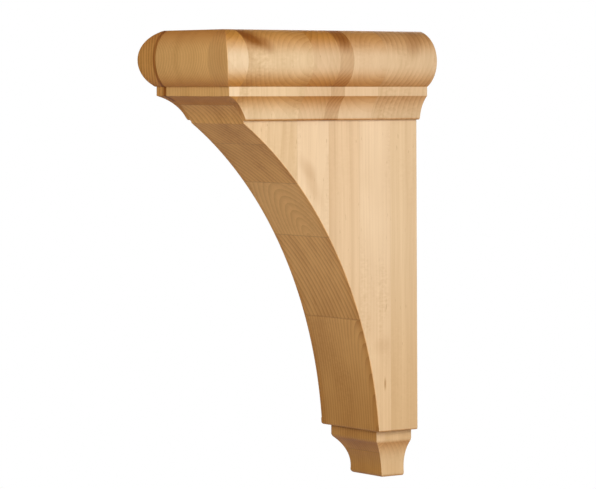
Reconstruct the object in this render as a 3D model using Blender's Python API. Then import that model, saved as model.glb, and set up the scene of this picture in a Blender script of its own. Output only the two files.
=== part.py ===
"""A hard maple corbel in metres: +Z up, the wall at Y = 0, its front towards -Y.

The origin is the middle of the flat back face. The body is glued up from upright
boards, set one in front of another, and the overhang of the cap on each side is glued
up from short blocks. The whole is then shaped: a bullnose, a fillet and a cove round
the cap, a long hollow sweep down the front, and a small moulded foot. Heights are
measured as drops below the top face, and depths as reaches out from the wall.
"""

import math

import bmesh
import bpy

# Overall height and reach, and the widths of the body, which spreads a little downwards
HEIGHT = 0.3556
CAP_REACH = 0.2000
BODY_TOP_WIDTH = 0.0712
BODY_FOOT_WIDTH = 0.0772

# Cap: its widths from side to side, how far its upper and lower edges stand out from the
# body's side, and the drops and heights of its members
CAP_WIDTH = 0.1248
FILLET_WIDTH = 0.1000
TOP_OVERHANG = 0.0059
COVE_OVERHANG = 0.0048
COVE_LIP = 0.0024
FILLET_DROP = 0.0435
FILLET_HEIGHT = 0.0072
SIDE_COVE_HEIGHT = 0.0165
FRONT_COVE_HEIGHT = 0.0212

# Bullnose at the sides: the drop of its crown, and how far the ellipses of its upper and
# lower half would run on past its edges
SIDE_CROWN_DROP = 0.0235
SIDE_UPPER_RUN_ON = 0.0010
SIDE_LOWER_RUN_ON = 0.0029
SIDE_COVE_SAG = 0.0017

# Bullnose at the front, rounder above than below, as at the sides, and how far its upper
# and lower edges fall back from the crown
FRONT_CROWN_DROP = 0.0215
FRONT_UPPER_RUN_ON = 0.0015
FRONT_LOWER_RUN_ON = 0.0030
FRONT_TOP_SETBACK = 0.0114
FRONT_LOWER_SETBACK = 0.0088

# How far the front fillet stands in under the bullnose, and the crease behind the fillet
FRONT_LEDGE = 0.0012
CREASE_SETBACK = 0.0231
FRONT_COVE_SAG = 0.0037

# Sweep: part of an ellipse that would stand upright a little below the body and would
# lie level some way above the crease
SWEEP_REACH = 0.0373
SWEEP_BELOW_BODY = 0.0299
SWEEP_ABOVE_CREASE = 0.0456

# Foot: a fillet set in from the body, then a cove down to a small end
FOOT_HEIGHT = 0.0388
FOOT_SIDE_INSET = 0.0083
FOOT_FRONT_INSET = 0.0037
FOOT_FILLET_HEIGHT = 0.0088
FOOT_END_WIDTH = 0.0418
FOOT_END_REACH = 0.0224
FOOT_COVE_SAG = 0.0036
FOOT_ARRIS = 0.0028

# Stock: the boards at the wall and at the front, between which the others share the
# reach, and the cap's blocks from the wall, with a long one left before the front one
BACK_BOARD = 0.0265
FRONT_BOARD = 0.0230
BOARD_COUNT = 7
WALL_BLOCKS = (0.0488, 0.0324, 0.0132, 0.0250)
FRONT_BLOCK = 0.0194
GLUE_GAP = 0.0003
LEDGE_FALL = 0.0003

# How finely the curves are faceted
CROWN_STEPS = 10
COVE_STEPS = 8
SWEEP_STEPS = 46
FOOT_STEPS = 12
SMOOTH_ANGLE = math.radians(31)

# Tones of the boards and blocks, in the order they are used
TONES = ((0.66, 0.43, 0.23), (0.72, 0.50, 0.29), (0.62, 0.39, 0.20), (0.69, 0.46, 0.26))

# Drops and reaches that follow from the sizes above
FILLET_FOOT = FILLET_DROP + FILLET_HEIGHT
SIDE_COVE_FOOT = FILLET_FOOT + SIDE_COVE_HEIGHT
CREASE_DROP = FILLET_FOOT + FRONT_COVE_HEIGHT
BODY_DROP = HEIGHT - FOOT_HEIGHT
FOOT_COVE_TOP = BODY_DROP + FOOT_FILLET_HEIGHT
FOOT_COVE_FOOT = HEIGHT - FOOT_ARRIS
FILLET_REACH = CAP_REACH - FRONT_LOWER_SETBACK - FRONT_LEDGE
CREASE_REACH = FILLET_REACH - CREASE_SETBACK


def bulge(from_crown, rise):
    """The share of an ellipse's depth that a bullnose has fallen back at a height."""
    return 1 - math.sqrt(1 - (from_crown / rise) ** 2)


def crown_drops(crown):
    """Drops across a bullnose, closer together at its edges, where it turns fastest."""
    drops = []
    for step in range(CROWN_STEPS):
        drops.append(crown - crown * math.cos(math.pi / 2 * step / CROWN_STEPS))
    for step in range(CROWN_STEPS + 1):
        drops.append(crown + (FILLET_DROP - crown) * math.sin(math.pi / 2 * step / CROWN_STEPS))
    return drops


def hollow_arc(start, end, sag, steps):
    """Points of an arc between two (reach, drop) points, hollow on its outer side."""
    run, fall = end[0] - start[0], end[1] - start[1]
    half = math.hypot(run, fall) / 2
    radius = (half ** 2 + sag ** 2) / (2 * sag)
    turn = math.asin(half / radius)
    along = (run / half / 2, fall / half / 2)
    inward = (-along[1], along[0])
    points = []
    for step in range(steps + 1):
        angle = turn * (2 * step / steps - 1)
        forward = half + radius * math.sin(angle)
        bow = radius * math.cos(angle) - radius + sag
        points.append((
            start[0] + along[0] * forward + inward[0] * bow,
            start[1] + along[1] * forward + inward[1] * bow,
        ))
    return points


def fallen_back(drop, crown, run_on, setback):
    """How far a bullnose lies behind its crown at a drop, on one of its two halves."""
    span = crown if drop < crown else FILLET_DROP - crown
    return setback * bulge(drop - crown, span + run_on) / bulge(span, span + run_on)


def front_crown(drop):
    """The reach of the bullnose along the front."""
    if drop < FRONT_CROWN_DROP:
        run_on, setback = FRONT_UPPER_RUN_ON, FRONT_TOP_SETBACK
    else:
        run_on, setback = FRONT_LOWER_RUN_ON, FRONT_LOWER_SETBACK
    return CAP_REACH - fallen_back(drop, FRONT_CROWN_DROP, run_on, setback)


def sweep_reach(drop):
    """The reach of the sweep, between the crease and the body's lower edge."""
    level = CREASE_DROP - SWEEP_ABOVE_CREASE
    upright = BODY_DROP + SWEEP_BELOW_BODY
    share = bulge(upright - drop, upright - level) / bulge(upright - CREASE_DROP, upright - level)
    return SWEEP_REACH + (CREASE_REACH - SWEEP_REACH) * share


def front_outline():
    """The front from the top face to the foot's end, as (reach, drop)."""
    points = []
    for drop in crown_drops(FRONT_CROWN_DROP):
        points.append((front_crown(drop), drop))
    points.append((FILLET_REACH, FILLET_DROP + LEDGE_FALL))
    points += hollow_arc(
        (FILLET_REACH, FILLET_FOOT), (CREASE_REACH, CREASE_DROP), FRONT_COVE_SAG, COVE_STEPS)
    for step in range(1, SWEEP_STEPS + 1):
        # The facets are longer towards the bottom, where the sweep is nearly straight
        share = (step / SWEEP_STEPS) ** 1.3
        drop = CREASE_DROP + (BODY_DROP - CREASE_DROP) * share
        points.append((sweep_reach(drop), drop))
    return points + foot_outline(sweep_reach(BODY_DROP) - FOOT_FRONT_INSET, FOOT_END_REACH)


def foot_outline(fillet, end):
    """One side of the foot, from under the body's lower edge to its rounded end."""
    points = [(fillet, BODY_DROP + LEDGE_FALL)]
    points += hollow_arc((fillet, FOOT_COVE_TOP), (end, FOOT_COVE_FOOT), FOOT_COVE_SAG, FOOT_STEPS)
    return points + lip(end, FOOT_COVE_FOOT, FOOT_ARRIS)


def lip(reach, drop, size):
    """A small round that turns in under a lower edge."""
    points = []
    for degrees in (30, 60, 90):
        turn = math.radians(degrees)
        points.append((reach - size * (1 - math.cos(turn)), drop + size * math.sin(turn)))
    return points


def body_half(drop):
    """Half the body's width at a drop, between its top and its lower edge."""
    return (BODY_TOP_WIDTH + (BODY_FOOT_WIDTH - BODY_TOP_WIDTH) * drop / BODY_DROP) / 2


def body_side():
    """The body's side from top to foot, as (half width, drop)."""
    points = [(body_half(0), 0), (body_half(BODY_DROP), BODY_DROP)]
    return points + foot_outline(body_half(BODY_DROP) - FOOT_SIDE_INSET, FOOT_END_WIDTH / 2)


def side_crown(drop):
    """Half the width of the cap across its bullnose, from the top face to the fillet."""
    if drop < SIDE_CROWN_DROP:
        run_on, edge = SIDE_UPPER_RUN_ON, body_half(0) + TOP_OVERHANG
    else:
        run_on, edge = SIDE_LOWER_RUN_ON, FILLET_WIDTH / 2
    setback = CAP_WIDTH / 2 - edge
    return CAP_WIDTH / 2 - fallen_back(drop, SIDE_CROWN_DROP, run_on, setback)


def cap_side():
    """The overhang of the cap from the top face to its underside, as (half width, drop)."""
    points = []
    for drop in crown_drops(SIDE_CROWN_DROP):
        points.append((side_crown(drop), drop))
    fillet = FILLET_WIDTH / 2
    foot = body_half(SIDE_COVE_FOOT) + COVE_OVERHANG
    points += hollow_arc((fillet, FILLET_FOOT), (foot, SIDE_COVE_FOOT), SIDE_COVE_SAG, COVE_STEPS)
    return points + lip(foot, SIDE_COVE_FOOT, COVE_LIP)


def at_drop(outline, drop):
    """The reach or half width of an outline at a drop."""
    for (upper, start), (lower, end) in zip(outline, outline[1:]):
        if drop <= end:
            return upper + (lower - upper) * (drop - start) / (end - start)
    return outline[-1][0]


def slab_drops(front, back_plane, front_plane, last_drop):
    """The drops where a slab between two upright planes needs a section for its front."""
    drops = [0.0]
    for (upper, start), (lower, end) in zip(front, front[1:]):
        if start >= last_drop:
            break
        if min(upper, lower) < front_plane:
            drops += [start, end] if upper <= front_plane else [end]
        for plane in (front_plane, back_plane):
            if upper > plane > lower:
                drops.append(start + (end - start) * (upper - plane) / (upper - lower))
        if lower <= back_plane:
            crossing = drops[-1]
            return [drop for drop in drops if drop <= crossing]
    return [drop for drop in drops if drop < last_drop] + [last_drop]


def glued_piece(name, front, side, planes, overhang, tone):
    """One board or block: the shaped outline kept between its glue planes.

    With no overhang the piece runs right across the body. With an overhang of 1 or -1 it
    is glued to the body's right or left side and reaches out from there.
    """
    back_plane, front_plane = planes
    drops = slab_drops(front, back_plane, front_plane, side[-1][1])
    last = max(drops)
    drops += [drop for reach, drop in side if drop < last]
    rows = []
    for drop in sorted(set(drops)):
        reach = max(back_plane, min(front_plane, at_drop(front, drop)))
        half = at_drop(side, drop)
        glued = at_drop(body_side(), drop) + GLUE_GAP
        ends = {0: (-half, half), 1: (glued, half), -1: (-half, -glued)}[overhang]
        rows.append((ends, reach, HEIGHT / 2 - drop))
    return stacked_solid(name, rows, back_plane, maple(name, tone))


def stacked_solid(name, rows, back_plane, finish):
    """A closed solid from rectangles stacked from the top face downwards."""
    form = bmesh.new()
    rings = []
    for (left, right), reach, height in rows:
        corners = ((left, -back_plane), (left, -reach), (right, -reach), (right, -back_plane))
        rings.append([form.verts.new((x, y, height)) for x, y in corners])
    form.faces.new(rings[0])
    for upper, lower in zip(rings, rings[1:]):
        for corner in range(4):
            after = (corner + 1) % 4
            form.faces.new((upper[corner], lower[corner], lower[after], upper[after]))
    form.faces.new(rings[-1][::-1])
    bmesh.ops.remove_doubles(form, verts=form.verts, dist=1e-6)
    bmesh.ops.recalc_face_normals(form, faces=form.faces)
    mesh = bpy.data.meshes.new(name)
    form.to_mesh(mesh)
    form.free()
    mesh.shade_smooth()
    mesh.set_sharp_from_angle(angle=SMOOTH_ANGLE)
    mesh.materials.append(finish)
    piece = bpy.data.objects.new(name, mesh)
    bpy.context.scene.collection.objects.link(piece)
    return piece


def maple(name, tone):
    """Clear-finished hard maple in the tone of one board."""
    finish = bpy.data.materials.new(name)
    finish.use_nodes = True
    shader = finish.node_tree.nodes["Principled BSDF"]
    shader.inputs["Base Color"].default_value = (*tone, 1)
    shader.inputs["Roughness"].default_value = 0.42
    shader.inputs["Metallic"].default_value = 0.0
    return finish


def between_joints(stock):
    """The planes of each piece of a stack that starts at the wall, less half its joints."""
    planes = []
    back = joint = 0.0
    for thickness in stock[:-1]:
        joint += thickness
        planes.append((back, joint - GLUE_GAP / 2))
        back = joint + GLUE_GAP / 2
    return planes + [(back, CAP_REACH)]


def build_body():
    """The upright boards, numbered from the wall outwards."""
    front, side = front_outline(), body_side()
    board = (CAP_REACH - BACK_BOARD - FRONT_BOARD) / (BOARD_COUNT - 2)
    stock = [BACK_BOARD, *[board] * (BOARD_COUNT - 2), FRONT_BOARD]
    for number, planes in enumerate(between_joints(stock), start=1):
        glued_piece(f"body_board_{number}", front, side, planes, 0, TONES[number % 4])


def build_cap_side(label, sign):
    """The blocks of one side of the cap, numbered from the wall outwards."""
    front, side = front_outline(), cap_side()
    long_block = CAP_REACH - sum(WALL_BLOCKS) - FRONT_BLOCK
    stock = [*WALL_BLOCKS, long_block, FRONT_BLOCK]
    for number, planes in enumerate(between_joints(stock), start=1):
        name = f"{label}_cap_block_{number}"
        glued_piece(name, front, side, planes, sign, TONES[(number + 2) % 4])


for old in list(bpy.data.objects):
    bpy.data.objects.remove(old, do_unlink=True)
build_body()
build_cap_side("right", 1)
build_cap_side("left", -1)
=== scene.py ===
"""A hard maple corbel with a moulded cap, a hollow swept front and a small foot."""

import math

import bmesh
import bpy
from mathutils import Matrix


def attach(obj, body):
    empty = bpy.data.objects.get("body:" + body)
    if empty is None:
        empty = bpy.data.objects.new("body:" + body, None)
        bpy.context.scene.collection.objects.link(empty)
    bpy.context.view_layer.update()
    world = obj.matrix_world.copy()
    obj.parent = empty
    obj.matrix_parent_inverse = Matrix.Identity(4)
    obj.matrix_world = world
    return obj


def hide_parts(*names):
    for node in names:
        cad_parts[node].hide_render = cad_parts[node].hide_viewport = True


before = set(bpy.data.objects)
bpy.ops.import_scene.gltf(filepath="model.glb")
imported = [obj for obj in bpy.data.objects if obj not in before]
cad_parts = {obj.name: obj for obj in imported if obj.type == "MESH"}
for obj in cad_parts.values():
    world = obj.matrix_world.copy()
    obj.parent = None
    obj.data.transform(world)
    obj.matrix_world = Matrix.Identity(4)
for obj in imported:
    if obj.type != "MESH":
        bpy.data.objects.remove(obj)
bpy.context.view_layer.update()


# The body: seven upright maple boards, glued face to face from the wall outwards, then
# sawn and sanded as one to the long hollow sweep of the front. It spreads a little
# towards its lower edge, and its small square foot is shaped from the same boards.
TOP = 0.1778
CAP_REACH = 0.2000
BODY_HALF, BODY_SPREAD = 0.0356, 0.0030
BODY_DROP = 0.3168
FILLET_DROP, FILLET_FOOT, FILLET_REACH = 0.0435, 0.0507, 0.1900
CREASE_DROP, CREASE_REACH = 0.0719, 0.1669
FRONT_CROWN_DROP, FRONT_UPPER_RISE, FRONT_LOWER_RISE = 0.0215, 0.0230, 0.0250
FRONT_TOP_REACH, FRONT_LEDGE_REACH = 0.1886, 0.1912
FRONT_COVE_SAG = 0.0037
SWEEP_REACH, SWEEP_UPRIGHT, SWEEP_LEVEL = 0.0373, 0.3467, 0.0263
FOOT_DROP, FOOT_FILLET_FOOT, FOOT_ROUND = 0.3556, 0.3256, 0.0028
FOOT_COVE_FOOT = FOOT_DROP - FOOT_ROUND
FOOT_FILLET_HALF, FOOT_END_HALF = 0.0303, 0.0209
FOOT_FILLET_REACH, FOOT_END_REACH = 0.0348, 0.0224
FOOT_COVE_SAG = 0.0036
CAP_UNDERSIDE = 0.0696
BOARD_JOINTS = (0, 0.0265, 0.0566, 0.0867, 0.1168, 0.1469, 0.1770, CAP_REACH)
ARRIS, LOWER_ROUND = 0.0010, 0.0020
SMOOTH_UP_TO = math.radians(28)
BULLNOSE_STEPS, COVE_STEPS, SWEEP_STEPS, FOOT_STEPS, ROUND_STEPS = 40, 18, 110, 22, 5
SWEEP_CROWDING = 1.3
NEARBY, OFF_THE_WALL = 1e-5, 0.001


def bulge(from_crown, rise):
    """How far round its ellipse a bullnose has turned, as a share of the depth."""
    return 1 - math.sqrt(max(0.0, 1 - (from_crown / rise) ** 2))


def hollow(start, end, sag):
    """The reach of a cove at a drop, for an arc between two (reach, drop) points."""
    run, fall = end[0] - start[0], end[1] - start[1]
    length = math.hypot(run, fall)
    radius = (length ** 2 / 4 + sag ** 2) / (2 * sag)
    across = (start[0] + end[0]) / 2 + fall / length * (radius - sag)
    down = (start[1] + end[1]) / 2 - run / length * (radius - sag)
    return lambda drop: across - math.sqrt(radius ** 2 - (drop - down) ** 2)


def evenly(start, end, steps, crowding=1.0):
    """Drops from just after the start to the end, closer at first for more crowding."""
    return [start + (end - start) * (step / steps) ** crowding for step in range(1, steps + 1)]


def front_bullnose(drop):
    """The reach of the bullnose along the front, which is rounder above than below."""
    if drop < FRONT_CROWN_DROP:
        rise, span, edge = FRONT_UPPER_RISE, FRONT_CROWN_DROP, FRONT_TOP_REACH
    else:
        rise, span, edge = FRONT_LOWER_RISE, FILLET_DROP - FRONT_CROWN_DROP, FRONT_LEDGE_REACH
    return CAP_REACH - (CAP_REACH - edge) * bulge(drop - FRONT_CROWN_DROP, rise) / bulge(span, rise)


def sweep(drop):
    rise = SWEEP_UPRIGHT - SWEEP_LEVEL
    share = bulge(SWEEP_UPRIGHT - drop, rise) / bulge(SWEEP_UPRIGHT - CREASE_DROP, rise)
    return SWEEP_REACH + (CREASE_REACH - SWEEP_REACH) * share


def body_half(drop):
    return BODY_HALF + BODY_SPREAD * drop / BODY_DROP


bullnose_drops = [
    FILLET_DROP * (1 - math.cos(math.pi * step / BULLNOSE_STEPS)) / 2
    for step in range(BULLNOSE_STEPS + 1)]
front_cove = hollow((FILLET_REACH, FILLET_FOOT), (CREASE_REACH, CREASE_DROP), FRONT_COVE_SAG)
foot_front = hollow(
    (FOOT_FILLET_REACH, FOOT_FILLET_FOOT), (FOOT_END_REACH, FOOT_COVE_FOOT), FOOT_COVE_SAG)
foot_side = hollow(
    (FOOT_FILLET_HALF, FOOT_FILLET_FOOT), (FOOT_END_HALF, FOOT_COVE_FOOT), FOOT_COVE_SAG)


def body_sections():
    """Level sections of the body from the top down, as (half width, reach, drop)."""
    rows = [(body_half(drop), front_bullnose(drop), drop) for drop in bullnose_drops]
    for drop in (FILLET_DROP, FILLET_FOOT):
        rows.append((body_half(drop), FILLET_REACH, drop))
    for drop in evenly(FILLET_FOOT, CREASE_DROP, COVE_STEPS):
        rows.append((body_half(drop), front_cove(drop), drop))
    for drop in evenly(CREASE_DROP, BODY_DROP, SWEEP_STEPS, SWEEP_CROWDING):
        rows.append((body_half(drop), sweep(drop), drop))
    for drop in (BODY_DROP, FOOT_FILLET_FOOT):
        rows.append((FOOT_FILLET_HALF, FOOT_FILLET_REACH, drop))
    for drop in evenly(FOOT_FILLET_FOOT, FOOT_COVE_FOOT, FOOT_STEPS):
        rows.append((foot_side(drop), foot_front(drop), drop))
    for turn in evenly(0, math.pi / 2, ROUND_STEPS):
        back = FOOT_ROUND * (1 - math.cos(turn))
        drop = FOOT_COVE_FOOT + FOOT_ROUND * math.sin(turn)
        rows.append((FOOT_END_HALF - back, FOOT_END_REACH - back, drop))
    return rows


def drawn_down(name, rows):
    """A blank that starts as its level top face and is drawn down through its sections."""
    bpy.ops.object.select_all(action="DESELECT")
    half, reach, drop = rows[0]
    bpy.ops.mesh.primitive_plane_add(
        size=1, enter_editmode=True, location=(0, -reach / 2, TOP - drop))
    bpy.ops.transform.resize(value=(2 * half, reach, 1))
    for next_half, next_reach, next_drop in rows[1:]:
        bpy.ops.mesh.extrude_region_move(
            TRANSFORM_OT_translate={"value": (0, 0, drop - next_drop)})
        bpy.ops.transform.resize(
            value=(next_half / half, next_reach / reach, 1),
            center_override=(0, 0, TOP - next_drop))
        half, reach, drop = next_half, next_reach, next_drop
    bpy.ops.mesh.select_all(action="SELECT")
    bpy.ops.mesh.normals_make_consistent(inside=False)
    bpy.ops.object.mode_set(mode="OBJECT")
    bpy.ops.object.transform_apply(location=True, rotation=True, scale=True)
    blank = bpy.context.active_object
    blank.name = name
    return blank


def select_edges(blank, wanted):
    """Selects the edges whose two ends pass the test, and nothing else."""
    bpy.ops.mesh.select_mode(type="EDGE")
    bpy.ops.mesh.select_all(action="DESELECT")
    form = bmesh.from_edit_mesh(blank.data)
    for edge in form.edges:
        if wanted(edge.verts[0].co, edge.verts[1].co):
            edge.select_set(True)
    bmesh.update_edit_mesh(blank.data)


def is_arris(one, two):
    """True for an edge that runs down a front corner, where sweep and side meet."""
    return max(one.y, two.y) < -OFF_THE_WALL and one.x * two.x > 0


def is_level_edge(one, two, drop, reach):
    """True for a level edge at a drop, on the outline of that reach."""
    level = max(abs(one.z - TOP + drop), abs(two.z - TOP + drop)) < NEARBY
    return level and min(one.y, two.y) < -reach + NEARBY and not is_arris(one, two)


def ease_body(blank):
    """Sands the long arrises, and rounds the lower edges of the body and the fillet."""
    bpy.context.view_layer.objects.active = blank
    blank.select_set(True)
    bpy.ops.object.mode_set(mode="EDIT")
    lower_reach = sweep(BODY_DROP)
    select_edges(blank, lambda one, two: (
        is_level_edge(one, two, BODY_DROP, lower_reach)
        or is_level_edge(one, two, FOOT_FILLET_FOOT, FOOT_FILLET_REACH)))
    bpy.ops.mesh.bevel(offset=LOWER_ROUND, segments=4, affect="EDGES", clamp_overlap=True)
    below_cap = TOP - CAP_UNDERSIDE + NEARBY
    above_foot = TOP - BODY_DROP + 2 * LOWER_ROUND
    select_edges(blank, lambda one, two: (
        is_arris(one, two) and above_foot < min(one.z, two.z) and max(one.z, two.z) < below_cap))
    bpy.ops.mesh.bevel(offset=ARRIS, segments=3, affect="EDGES", clamp_overlap=True)
    bpy.ops.object.mode_set(mode="OBJECT")


def cut_from(blank, name, planes):
    """A copy of the blank with all that lies behind each (point, normal) plane cut off."""
    bpy.ops.object.select_all(action="DESELECT")
    blank.select_set(True)
    bpy.context.view_layer.objects.active = blank
    bpy.ops.object.duplicate()
    piece = bpy.context.active_object
    piece.name = piece.data.name = name
    bpy.ops.object.mode_set(mode="EDIT")
    for point, normal in planes:
        bpy.ops.mesh.select_all(action="SELECT")
        bpy.ops.mesh.bisect(plane_co=point, plane_no=normal, use_fill=True, clear_inner=True)
    bpy.ops.mesh.select_all(action="SELECT")
    bpy.ops.mesh.remove_doubles(threshold=1e-6)
    bpy.ops.mesh.normals_make_consistent(inside=False)
    bpy.ops.object.mode_set(mode="OBJECT")
    bpy.ops.object.shade_smooth_by_angle(angle=SMOOTH_UP_TO)
    weighted = piece.modifiers.new("flat faces stay flat", "WEIGHTED_NORMAL")
    weighted.keep_sharp = True
    bpy.ops.object.modifier_apply(modifier=weighted.name)
    return piece


def between(back, front):
    """The planes that keep what lies between two reaches from the wall."""
    planes = []
    if back > 0:
        planes.append(((0, -back, 0), (0, -1, 0)))
    if front < CAP_REACH:
        planes.append(((0, -front, 0), (0, 1, 0)))
    return planes


def add(tree, kind, values=(), **settings):
    """A shader node whose inputs, in order, take numbers or other nodes' sockets."""
    made = tree.nodes.new("ShaderNode" + kind)
    for key, value in settings.items():
        setattr(made, key, value)
    for socket, value in zip(made.inputs, values):
        if isinstance(value, bpy.types.NodeSocket):
            tree.links.new(value, socket)
        elif value is not None:
            socket.default_value = value
    return made


def reckon(tree, operation, *values):
    """One sum on shader values."""
    return add(tree, "Math", values, operation=operation).outputs[0]


def rescaled(tree, value, low, high, to_low=0.0, to_high=1.0):
    """A value eased from one range to another and held at its ends."""
    return add(
        tree, "MapRange", (value, low, high, to_low, to_high),
        interpolation_type="SMOOTHSTEP").outputs[0]


def blended(tree, share, first, second, mode="MIX"):
    """Two colours mixed by a share."""
    mix = add(tree, "Mix", data_type="RGBA", blend_type=mode)
    for socket, value in ((mix.inputs[0], share), (mix.inputs[6], first), (mix.inputs[7], second)):
        if isinstance(value, bpy.types.NodeSocket):
            tree.links.new(value, socket)
        else:
            socket.default_value = value
    return mix.outputs[2]


def cloudy(tree, place, stretch, scale, detail, start):
    """Soft noise, drawn out along the grain where the stretch is small."""
    moved = add(tree, "Mapping", (place, start, (0, 0, 0), (1, 1, stretch))).outputs[0]
    noise = add(tree, "TexNoise", noise_dimensions="3D")
    tree.links.new(moved, noise.inputs["Vector"])
    noise.inputs["Scale"].default_value = scale
    noise.inputs["Detail"].default_value = detail
    noise.inputs["Roughness"].default_value = 0.55
    return noise.outputs["Fac"]


LATE_WOOD, RING_MEAN = 1.8, 0.36
RING_WANDER = 5.0


def growth_rings(tree, place, pith, spacing):
    """Growth rings about the heart of the tree, each darkest at its outer edge."""
    aside, deepwards, lean_one, lean_two = pith
    centred = add(tree, "Mapping", (place, (-aside, deepwards, 0)))
    leaning = add(tree, "Mapping", (centred.outputs[0], (0, 0, 0), (lean_one, lean_two, 0)))
    drawn = add(tree, "Mapping", (leaning.outputs[0], (0, 0, 0), (0, 0, 0), (1, 1, 0.3)))
    wave = add(tree, "TexWave", wave_type="RINGS", rings_direction="Z", wave_profile="SAW")
    tree.links.new(drawn.outputs[0], wave.inputs["Vector"])
    # The wave node draws a ring every pi / 10 at a scale of one
    wave.inputs["Scale"].default_value = math.pi / 10 / spacing
    wave.inputs["Distortion"].default_value = RING_WANDER
    wave.inputs["Detail"].default_value = 1.2
    wave.inputs["Detail Scale"].default_value = 0.2
    wave.inputs["Detail Roughness"].default_value = 0.5
    return reckon(tree, "POWER", wave.outputs["Fac"], LATE_WOOD)


def stain_mask(tree, place, wander, centre, reaches, turn):
    """One in a soft patch round a centre, with reaches in x, y and z, turned about x."""
    off = add(tree, "Mapping", (place, [-value for value in centre])).outputs[0]
    turned = add(tree, "Mapping", (off, (0, 0, 0), (turn, 0, 0))).outputs[0]
    sizes = [1 / value for value in reaches]
    sized = add(tree, "Mapping", (turned, (0, 0, 0), (0, 0, 0), sizes)).outputs[0]
    far = add(tree, "VectorMath", (sized,), operation="LENGTH").outputs["Value"]
    far = reckon(tree, "MULTIPLY_ADD", wander, 1.6, far)
    return rescaled(tree, far, 0.9, 2.0, 1.0, 0.0)


# Each noise in the wood: its stretch along the grain, its scale and its detail
FIBRE, BAND, CLOUD = (0.02, 620, 2), (0.02, 75, 2), (0.35, 32, 3)
RIPPLE, FLECKS = (1.8, 260, 1), (0.16, 700, 1)
FIBRE_SHOWN = 0.42
RINGS_ALONG, RINGS_CUT_OPEN = 0.25, 1.1


def grained(tree, pale, deep, ring, cut_open, rings, noises):
    """Pale wood deepened by its rings and by each noise, both taken about their middle."""
    shown = reckon(tree, "MULTIPLY_ADD", cut_open, RINGS_CUT_OPEN * rings, RINGS_ALONG * rings)
    ring = reckon(tree, "MULTIPLY", reckon(tree, "SUBTRACT", ring, RING_MEAN), shown)
    depth = reckon(tree, "ADD", ring, RING_MEAN)
    for noise, amount in noises:
        depth = reckon(tree, "MULTIPLY_ADD", reckon(tree, "SUBTRACT", noise, 0.5), amount, depth)
    depth = add(tree, "Clamp", (depth, 0, 1)).outputs[0]
    return blended(tree, depth, (*pale, 1), (*deep, 1))


# Tones that darken the wood: on the front, lacquer drunk where it is cut across plus
# painted shade, both deeper low down; painted shade towards the foot; beside the arris
# below the cap; on fibre ends; and painted shade on faces that look down
SAWN_AND_SHADED_FRONT, SAWN_AND_SHADED_FRONT_LOW = (0.92, 0.74, 0.45, 1), (0.69, 0.51, 0.26, 1)
PAINTED_SHADE_LOW, NEAR_ARRIS = (0.93, 0.86, 0.75, 1), (0.86, 0.76, 0.60, 1)
END_GRAIN, PAINTED_SHADE_UNDER = (0.80, 0.48, 0.13, 1), (0.73, 0.60, 0.36, 1)
SHADE_LOW_FROM, SHADE_LOW_TO = 0.02, -0.15
BESIDE_FROM, BESIDE_TO = 0.0285, 0.0360
BELOW_CAP_FROM, BELOW_CAP_TO = 0.112, 0.098


def sawn_and_shaded(tree, colour, facing, spots, frontal, level, ends):
    """Wood that drank more lacquer where it was cut across, with painted shade on the front, towards the
    foot and on faces that look down.
    """
    # Painted shade: the wood grows darker towards the foot, where less light reaches
    low = rescaled(tree, spots[2], SHADE_LOW_FROM, SHADE_LOW_TO)
    colour = blended(tree, low, colour, PAINTED_SHADE_LOW, mode="MULTIPLY")
    # The front faces: partly the deeper lacquer of wood cut across, partly painted shade of the side
    # turned from the light, darker low down
    sawn = blended(tree, low, SAWN_AND_SHADED_FRONT, SAWN_AND_SHADED_FRONT_LOW)
    colour = blended(tree, frontal, colour, sawn, mode="MULTIPLY")
    beside = rescaled(tree, reckon(tree, "ABSOLUTE", spots[0]), BESIDE_FROM, BESIDE_TO, 0.0, 0.8)
    below_cap = rescaled(tree, spots[2], BELOW_CAP_FROM, BELOW_CAP_TO)
    beside = reckon(tree, "MULTIPLY", reckon(tree, "MULTIPLY", beside, below_cap), frontal)
    colour = blended(tree, beside, colour, NEAR_ARRIS, mode="MULTIPLY")
    across = reckon(tree, "MULTIPLY", level, reckon(tree, "MULTIPLY_ADD", frontal, -0.3, 1.0))
    across = reckon(tree, "MULTIPLY", across, ends)
    across = reckon(tree, "MAXIMUM", across, rescaled(tree, facing[2], 0.90, 0.99, 0.0, 0.8))
    colour = blended(tree, across, colour, END_GRAIN, mode="MULTIPLY")
    # Painted shade on faces that look down, as under the fillet and the cove
    shade_below = rescaled(tree, reckon(tree, "MULTIPLY", facing[2], -ends), 0.30, 0.85, 0.0, 0.8)
    return blended(tree, shade_below, colour, PAINTED_SHADE_UNDER, mode="MULTIPLY")


MINERAL, FLECK, WORN = (0.50, 0.33, 0.15, 1), (0.36, 0.19, 0.08, 1), (0.90, 0.68, 0.42, 1)
FLECK_SHOWN, WORN_SHOWN = 0.4, 0.35


def marked(tree, colour, place, facing, cloud, band, fleck, stains):
    """Mineral stains and flecks in the wood, and the bleached wood of a worn arris."""
    for centre, reaches, turn, strength in stains:
        mask = stain_mask(tree, place, cloud, centre, reaches, turn)
        streaky = reckon(tree, "MULTIPLY_ADD", band, strength, strength / 2)
        mask = reckon(tree, "MULTIPLY", mask, streaky)
        colour = blended(tree, mask, colour, MINERAL, mode="MULTIPLY")
    colour = blended(tree, reckon(tree, "MULTIPLY", fleck, FLECK_SHOWN), colour, FLECK)
    corner = reckon(tree, "ABSOLUTE", reckon(tree, "MULTIPLY", facing[0], facing[1]))
    worn = rescaled(tree, corner, 0.08, 0.45, 0.0, WORN_SHOWN)
    return blended(tree, worn, colour, WORN)


GLUE_LINE, GLUE_HALF, GLUE_FADE = (0.27, 0.13, 0.05, 1), 0.00008, 0.00040
GLUE_SIDE, GLUE_FRONT = 0.06, 0.28


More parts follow.
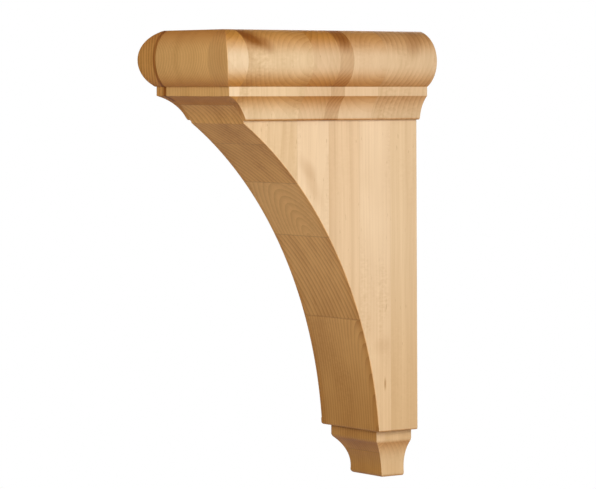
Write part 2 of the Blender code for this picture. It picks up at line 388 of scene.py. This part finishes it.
def glue_lines(tree, colour, spots, frontal, joints):
    """A thin dark line of glue at each joint, darker where the front is cut across it."""
    dark = reckon(tree, "MULTIPLY_ADD", frontal, GLUE_FRONT, GLUE_SIDE)
    for joint in joints:
        off = reckon(tree, "ABSOLUTE", reckon(tree, "ADD", spots[1], joint))
        line = rescaled(tree, off, GLUE_HALF, GLUE_FADE, 1.0, 0.0)
        colour = blended(tree, reckon(tree, "MULTIPLY", line, dark), colour, GLUE_LINE)
    return colour


LACQUER_ROUGH, FIBRE_ROUGH, ENDS_ROUGH = 0.36, 0.14, 0.10
FLECK_SUNK, GRAIN_HEIGHT = -0.6, 0.00012


def lacquered(tree, shader, fibre, fleck, level):
    """Satin lacquer that sinks a little into the fibres, their ends and the flecks."""
    rough = reckon(tree, "MULTIPLY_ADD", fibre, FIBRE_ROUGH, LACQUER_ROUGH)
    rough = reckon(tree, "MULTIPLY_ADD", level, ENDS_ROUGH, rough)
    tree.links.new(rough, shader.inputs["Roughness"])
    relief = reckon(tree, "MULTIPLY_ADD", fleck, FLECK_SUNK, fibre)
    bump = add(tree, "Bump")
    bump.inputs["Strength"].default_value = 0.3
    bump.inputs["Distance"].default_value = GRAIN_HEIGHT
    tree.links.new(relief, bump.inputs["Height"])
    tree.links.new(bump.outputs[0], shader.inputs["Normal"])
    shader.inputs["Specular IOR Level"].default_value = 0.3
    shader.inputs["Coat Weight"].default_value = 0.12
    shader.inputs["Coat Roughness"].default_value = 0.32


def maple(
        name, pale, deep, pith, spacing, rings, stripes, mottle, ends,
        joints, start, stains=()):
    """Hard maple under satin lacquer, each board from its own plank.

    The pith is where the tree's heart would lie, as x, depth and two leans of the trunk.
    The growth rings stand round it, so that they show as straight lines on a face that
    runs with the trunk and as arches where the face is cut across it. Faces sawn across
    the fibres take the lacquer deeper, and the ends of the fibres take it deepest. Painted
    shade darkens the front faces, more so low down, all the wood towards the foot, and
    the faces that look down. The start shifts the noises, so that no two boards have the same ones.
    """
    finish = bpy.data.materials.new(name)
    finish.use_nodes = True
    tree = finish.node_tree
    where = add(tree, "TexCoord")
    place = where.outputs["Object"]
    facing = add(tree, "SeparateXYZ", (where.outputs["Normal"],)).outputs
    spots = add(tree, "SeparateXYZ", (place,)).outputs
    frontal = rescaled(tree, reckon(tree, "MULTIPLY", facing[1], -1.0), 0.12, 0.6)
    level = rescaled(tree, reckon(tree, "ABSOLUTE", facing[2]), 0.12, 0.9)
    cut_open = reckon(tree, "MAXIMUM", frontal, level)

    fibre = cloudy(tree, place, *FIBRE, (start, 5, 0))
    band = cloudy(tree, place, *BAND, (start, 6, 2))
    cloud = cloudy(tree, place, *CLOUD, (start, 9, 0))
    ripple = cloudy(tree, place, *RIPPLE, (start, 2, 7))
    fleck = rescaled(tree, cloudy(tree, place, *FLECKS, (start, 4, 2)), 0.72, 0.79)
    rippled = reckon(tree, "MULTIPLY", rescaled(tree, cloud, 0.48, 0.62), mottle * 0.9)
    clouded = reckon(tree, "MULTIPLY_ADD", cut_open, 1.2 * mottle, mottle)
    noises = ((fibre, FIBRE_SHOWN), (band, stripes), (cloud, clouded), (ripple, rippled))

    ring = growth_rings(tree, place, pith, spacing)
    colour = grained(tree, pale, deep, ring, cut_open, rings, noises)
    colour = sawn_and_shaded(tree, colour, facing, spots, frontal, level, ends)
    colour = marked(tree, colour, place, facing, cloud, band, fleck, stains)
    colour = glue_lines(tree, colour, spots, frontal, joints)
    shader = tree.nodes["Principled BSDF"]
    tree.links.new(colour, shader.inputs["Base Color"])
    lacquered(tree, shader, fibre, fleck, level)
    return finish


def fit(piece, node, finish):
    """Sets a finished board or block in the place of its plain solid."""
    piece.data.materials.clear()
    piece.data.materials.append(finish)
    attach(piece, "root")
    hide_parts(node)


# Each board: pale and deep tones, the heart of its tree, the ring spacing, and how
# strongly its rings, stripes, mottling and fibre ends show
BOARDS = (
    ((0.80, 0.60, 0.38), (0.60, 0.40, 0.22), (-0.10, 0.10, 0.0, 0.0), 0.0021, 0.45, 1.2, 0.3, 0.8),
    ((0.83, 0.63, 0.42), (0.63, 0.43, 0.25), (0.036, 0.036, 0.0, 0.0), 0.0030, 0.75, 0.4, 1.0, 0.8),
    ((0.78, 0.57, 0.36), (0.54, 0.35, 0.19), (-0.154, -0.055, 0.0, 0.0), 0.0042, 0.75, 1.4, 0.2, 0.3),
    ((0.83, 0.63, 0.42), (0.62, 0.43, 0.25), (0.012, 0.084, 0.0, 0.06), 0.0042, 0.50, 0.4, 0.7, 0.3),
    ((0.79, 0.59, 0.37), (0.53, 0.34, 0.17), (-0.12, 0.02, 0.1, 0.0), 0.0044, 0.60, 0.6, 0.8, 0.5),
    ((0.79, 0.58, 0.36), (0.52, 0.33, 0.16), (-0.10, 0.07, 0.0, 0.1), 0.0044, 0.60, 0.6, 0.8, 0.5),
    ((0.83, 0.64, 0.42), (0.60, 0.41, 0.22), (-0.15, 0.19, 0.0, 0.0), 0.0022, 1.00, 1.4, 0.4, 1.0),
)
# Darker marks in two of the boards: centre, reaches, turn and strength
BOARD_STAINS = {
    2: (((0.0376, -0.0324, -0.1005), (0.002, 0.0011, 0.0060), 0.0, 0.8),
        ((0.0374, -0.0340, -0.0700), (0.004, 0.0090, 0.0085), 0.0, 0.2)),
    4: (((0.0364, -0.1010, 0.0560), (0.003, 0.0060, 0.0200), -0.49, 0.20),
        ((0.0364, -0.1080, 0.0720), (0.003, 0.0060, 0.0140), -0.80, 0.20)),
}

body_blank = drawn_down("body_blank", body_sections())
ease_body(body_blank)
for number, traits in enumerate(BOARDS, start=1):
    back, front = BOARD_JOINTS[number - 1], BOARD_JOINTS[number]
    board = cut_from(body_blank, f"maple_board_{number}", between(back, front))
    joints = [reach for reach in (back, front) if 0 < reach < CAP_REACH]
    finish = maple(board.name, *traits, joints, number * 3.7, BOARD_STAINS.get(number, ()))
    fit(board, f"body_board_{number}", finish)
bpy.data.objects.remove(body_blank)


# The cap's sides: short maple blocks glued to both sides of the body, with the grain
# upright like the boards'. A bullnose, a fillet and a cove are run round them and the
# front board in one pass, so the members line up across the joints.
CAP_HALF, TOP_HALF, FILLET_HALF, LEDGE_HALF = 0.0624, 0.0415, 0.0500, 0.0503
SIDE_CROWN_DROP, SIDE_UPPER_RISE, SIDE_LOWER_RISE = 0.0235, 0.0245, 0.0229
COVE_FOOT_HALF, COVE_LIP, SIDE_COVE_SAG = 0.0410, 0.0024, 0.0017
SIDE_COVE_FOOT = CAP_UNDERSIDE - COVE_LIP
EASED, EASED_SHORT_OF = 0.0006, 0.0008
SIDE_COVE_STEPS = 14
BLOCK_JOINTS = (0, 0.0488, 0.0812, 0.0944, 0.1194, 0.1806, CAP_REACH)


def side_bullnose(drop):
    """Half the cap's width across its bullnose, which is rounder above than below."""
    if drop < SIDE_CROWN_DROP:
        rise, span, edge = SIDE_UPPER_RISE, SIDE_CROWN_DROP, TOP_HALF
    else:
        rise, span, edge = SIDE_LOWER_RISE, FILLET_DROP - SIDE_CROWN_DROP, LEDGE_HALF
    return CAP_HALF - (CAP_HALF - edge) * bulge(drop - SIDE_CROWN_DROP, rise) / bulge(span, rise)


def cap_sections():
    """Level sections of the cap from the top down, as (half width, reach, drop)."""
    rows = [(side_bullnose(drop), front_bullnose(drop), drop) for drop in bullnose_drops]
    for drop in (FILLET_DROP, FILLET_FOOT):
        rows.append((FILLET_HALF, FILLET_REACH, drop))
    side_cove = hollow((FILLET_HALF, FILLET_FOOT), (COVE_FOOT_HALF, SIDE_COVE_FOOT), SIDE_COVE_SAG)
    for drop in evenly(FILLET_FOOT, SIDE_COVE_FOOT, SIDE_COVE_STEPS):
        rows.append((side_cove(drop), front_cove(drop), drop))
    for turn in evenly(0, math.pi / 2, ROUND_STEPS):
        drop = SIDE_COVE_FOOT + COVE_LIP * math.sin(turn)
        rows.append((COVE_FOOT_HALF - COVE_LIP * (1 - math.cos(turn)), front_cove(drop), drop))
    return rows


def ease_cap(blank):
    """Sands the corner where the front and side mouldings meet, and the fillet's edge."""
    bpy.context.view_layer.objects.active = blank
    blank.select_set(True)
    bpy.ops.object.mode_set(mode="EDIT")
    top, ledge = TOP - EASED_SHORT_OF, TOP - FILLET_DROP + EASED_SHORT_OF
    select_edges(blank, lambda one, two: (
        is_arris(one, two) and ledge < min(one.z, two.z) and max(one.z, two.z) < top))
    bpy.ops.mesh.bevel(offset=EASED, segments=3, affect="EDGES", clamp_overlap=True)
    bullnose_foot = TOP - FILLET_DROP - NEARBY
    select_edges(blank, lambda one, two: (
        is_arris(one, two) and max(one.z, two.z) < bullnose_foot
        or is_level_edge(one, two, FILLET_FOOT, FILLET_REACH)))
    bpy.ops.mesh.bevel(offset=EASED / 2, segments=2, affect="EDGES", clamp_overlap=True)
    bpy.ops.object.mode_set(mode="OBJECT")


# Each block, as the boards above: the right side first, then the left
BLOCKS = {
    "right": (
        ((0.73, 0.53, 0.33), (0.50, 0.31, 0.15), (0.100, -0.02, 0.25, 0.3), 0.0044, 0.50, 0.6, 0.8, 0.70),
        ((0.75, 0.55, 0.35), (0.57, 0.37, 0.20), (0.090, 0.065, 0.1, 0.1), 0.0036, 0.35, 0.5, 0.6, 0.85),
        ((0.64, 0.43, 0.25), (0.41, 0.24, 0.11), (0.090, 0.10, 0.5, 0.3), 0.0030, 0.60, 0.5, 0.5, 1.0),
        ((0.71, 0.51, 0.32), (0.48, 0.30, 0.14), (0.050, 0.11, -0.2, 0.2), 0.0036, 0.50, 0.4, 0.9, 1.0),
        ((0.76, 0.57, 0.36), (0.52, 0.34, 0.17), (0.110, 0.13, 0.1, 0.1), 0.0034, 0.40, 0.6, 0.9, 0.9),
        ((0.80, 0.62, 0.42), (0.57, 0.39, 0.21), (0.046, 0.187, -0.1, 0.1), 0.0032, 0.38, 0.4, 0.6, 1.0),
    ),
    "left": (
        ((0.74, 0.54, 0.33), (0.52, 0.33, 0.16), (-0.100, 0.01, 0.1, -0.2), 0.0042, 0.45, 0.5, 0.7, 0.8),
        ((0.70, 0.50, 0.29), (0.51, 0.32, 0.15), (-0.080, 0.06, 0.1, -0.1), 0.0036, 0.45, 0.5, 0.7, 0.9),
        ((0.76, 0.57, 0.36), (0.57, 0.38, 0.20), (-0.090, 0.10, -0.2, -0.1), 0.0032, 0.40, 0.4, 0.6, 0.9),
        ((0.66, 0.45, 0.25), (0.46, 0.28, 0.13), (-0.070, 0.12, 0.2, -0.1), 0.0034, 0.50, 0.5, 0.6, 1.0),
        ((0.75, 0.55, 0.34), (0.54, 0.35, 0.17), (-0.100, 0.17, -0.1, -0.2), 0.0038, 0.45, 0.5, 0.7, 0.9),
        ((0.72, 0.47, 0.23), (0.46, 0.27, 0.10), (-0.090, 0.24, 0.0, 0.0), 0.0024, 0.80, 1.2, 0.4, 0.8),
    ),
}
# Darker marks in some of the blocks, as in the boards above
BLOCK_STAINS = {
    "maple_right_block_1": (((0.050, -0.0200, 0.1660), (0.030, 0.0080, 0.0200), 0.7, 0.5),),
    "maple_right_block_3": (((0.050, -0.0878, 0.1710), (0.030, 0.0120, 0.0110), 0.5, 0.7),),
    "maple_right_block_5": (
        ((0.052, -0.1735, 0.1710), (0.030, 0.0245, 0.0095), 0.6, 1.25),
        ((0.060, -0.1790, 0.1560), (0.030, 0.0060, 0.0240), 0.0, 0.35)),
    "maple_right_block_6": (
        ((0.050, -0.1920, 0.1760), (0.030, 0.0140, 0.0060), 0.0, 0.15),
        ((0.046, -0.2010, 0.1560), (0.026, 0.0060, 0.0400), 0.0, 0.25)),
    "maple_left_block_6": (((-0.0385, -0.1900, 0.1400), (0.0032, 0.0600, 0.0800), 0.0, 1.0),),
}

cap_blank = drawn_down("cap_blank", cap_sections())
ease_cap(cap_blank)
for side, sign in (("right", 1), ("left", -1)):
    glued = ((sign * BODY_HALF, 0, TOP), (sign, 0, BODY_SPREAD / BODY_DROP))
    for number, traits in enumerate(BLOCKS[side], start=1):
        back, front = BLOCK_JOINTS[number - 1], BLOCK_JOINTS[number]
        name = f"maple_{side}_block_{number}"
        block = cut_from(cap_blank, name, [glued, *between(back, front)])
        joints = [reach for reach in (back, front) if 0 < reach < CAP_REACH]
        finish = maple(
            name, *traits, joints, 31 + sign * 20 + number * 2.3, BLOCK_STAINS.get(name, ()))
        fit(block, f"{side}_cap_block_{number}", finish)
bpy.data.objects.remove(cap_blank)


# The floor, far below as under a worktop that the corbel would carry, and the studio:
# a large soft light at the right, another behind on the left, a weaker warm one in
# front, and white all round. The camera stands at the photo's angle.
FLOOR_DROP, FLOOR_RADIUS, FLOOR_GLOW = 0.9, 2.6, 0.5
bpy.ops.object.select_all(action="DESELECT")
bpy.ops.mesh.primitive_circle_add(
    vertices=96, radius=FLOOR_RADIUS, fill_type="NGON", location=(0, 0, TOP - FLOOR_DROP))
floor = bpy.context.active_object
floor.name = "studio_floor"
pale_floor = bpy.data.materials.new("studio_floor")
pale_floor.use_nodes = True
paint = pale_floor.node_tree.nodes["Principled BSDF"].inputs
paint["Base Color"].default_value = (0.85, 0.85, 0.84, 1)
paint["Roughness"].default_value = 0.9
paint["Emission Color"].default_value = (1.0, 1.0, 0.99, 1)
directly = pale_floor.node_tree.nodes.new("ShaderNodeLightPath").outputs["Is Camera Ray"]
glowing = reckon(pale_floor.node_tree, "MULTIPLY", directly, FLOOR_GLOW)
pale_floor.node_tree.links.new(glowing, paint["Emission Strength"])
floor.data.materials.append(pale_floor)


def soft_light(name, place, aim, size, power, colour):
    """A square studio light that faces a point."""
    lamp = bpy.data.lights.new(name, "AREA")
    lamp.size = size
    lamp.energy = power
    lamp.color = colour
    light = bpy.data.objects.new(name, lamp)
    bpy.context.scene.collection.objects.link(light)
    light.location = place
    towards = [end - start for start, end in zip(place, aim)]
    flat = math.hypot(towards[0], towards[1])
    light.rotation_euler = (
        math.pi / 2 + math.atan2(towards[2], flat), 0, math.atan2(-towards[0], towards[1]))
    return light


soft_light(
    "right_light", place=(1.3, -0.5, 0.35), aim=(0, -0.1, 0), size=0.8, power=18.4,
    colour=(1.0, 0.99, 0.97))
soft_light(
    "front_light", place=(0.25, -1.05, 0.40), aim=(0, -0.1, 0), size=0.5, power=3.3,
    colour=(1.0, 0.84, 0.68))
soft_light(
    "back_light", place=(-0.9, 1.0, 0.3), aim=(0, 0, 0), size=0.8, power=15,
    colour=(1.0, 0.98, 0.95))

world = bpy.data.worlds.new("white_studio")
world.use_nodes = True
bpy.context.scene.world = world
around = world.node_tree
glow = around.nodes["Background"]
glow.inputs["Color"].default_value = (1.0, 0.86, 0.70, 1)
glow.inputs["Strength"].default_value = 0.12
bare = around.nodes.new("ShaderNodeBackground")
bare.inputs["Color"].default_value = (1, 1, 1, 1)
bare.inputs["Strength"].default_value = 1.0
seen = around.nodes.new("ShaderNodeLightPath")
either = around.nodes.new("ShaderNodeMixShader")
around.links.new(seen.outputs["Is Camera Ray"], either.inputs[0])
around.links.new(glow.outputs[0], either.inputs[1])
around.links.new(bare.outputs[0], either.inputs[2])
around.links.new(either.outputs[0], around.nodes["World Output"].inputs[0])

CAMERA_PLACE = (1.92942, -1.48329, 0.13471)
CAMERA_TILT, CAMERA_TURN = math.radians(86.9996), math.radians(54.1636)
CAMERA_LENS, CAMERA_SENSOR = 182.437, 36
bpy.ops.object.camera_add(location=CAMERA_PLACE, rotation=(CAMERA_TILT, 0, CAMERA_TURN))
camera = bpy.context.active_object
camera.data.lens = CAMERA_LENS
camera.data.sensor_width = CAMERA_SENSOR
camera.data.clip_end = 50
bpy.context.scene.camera = camera
bpy.context.scene.view_settings.view_transform = "Standard"
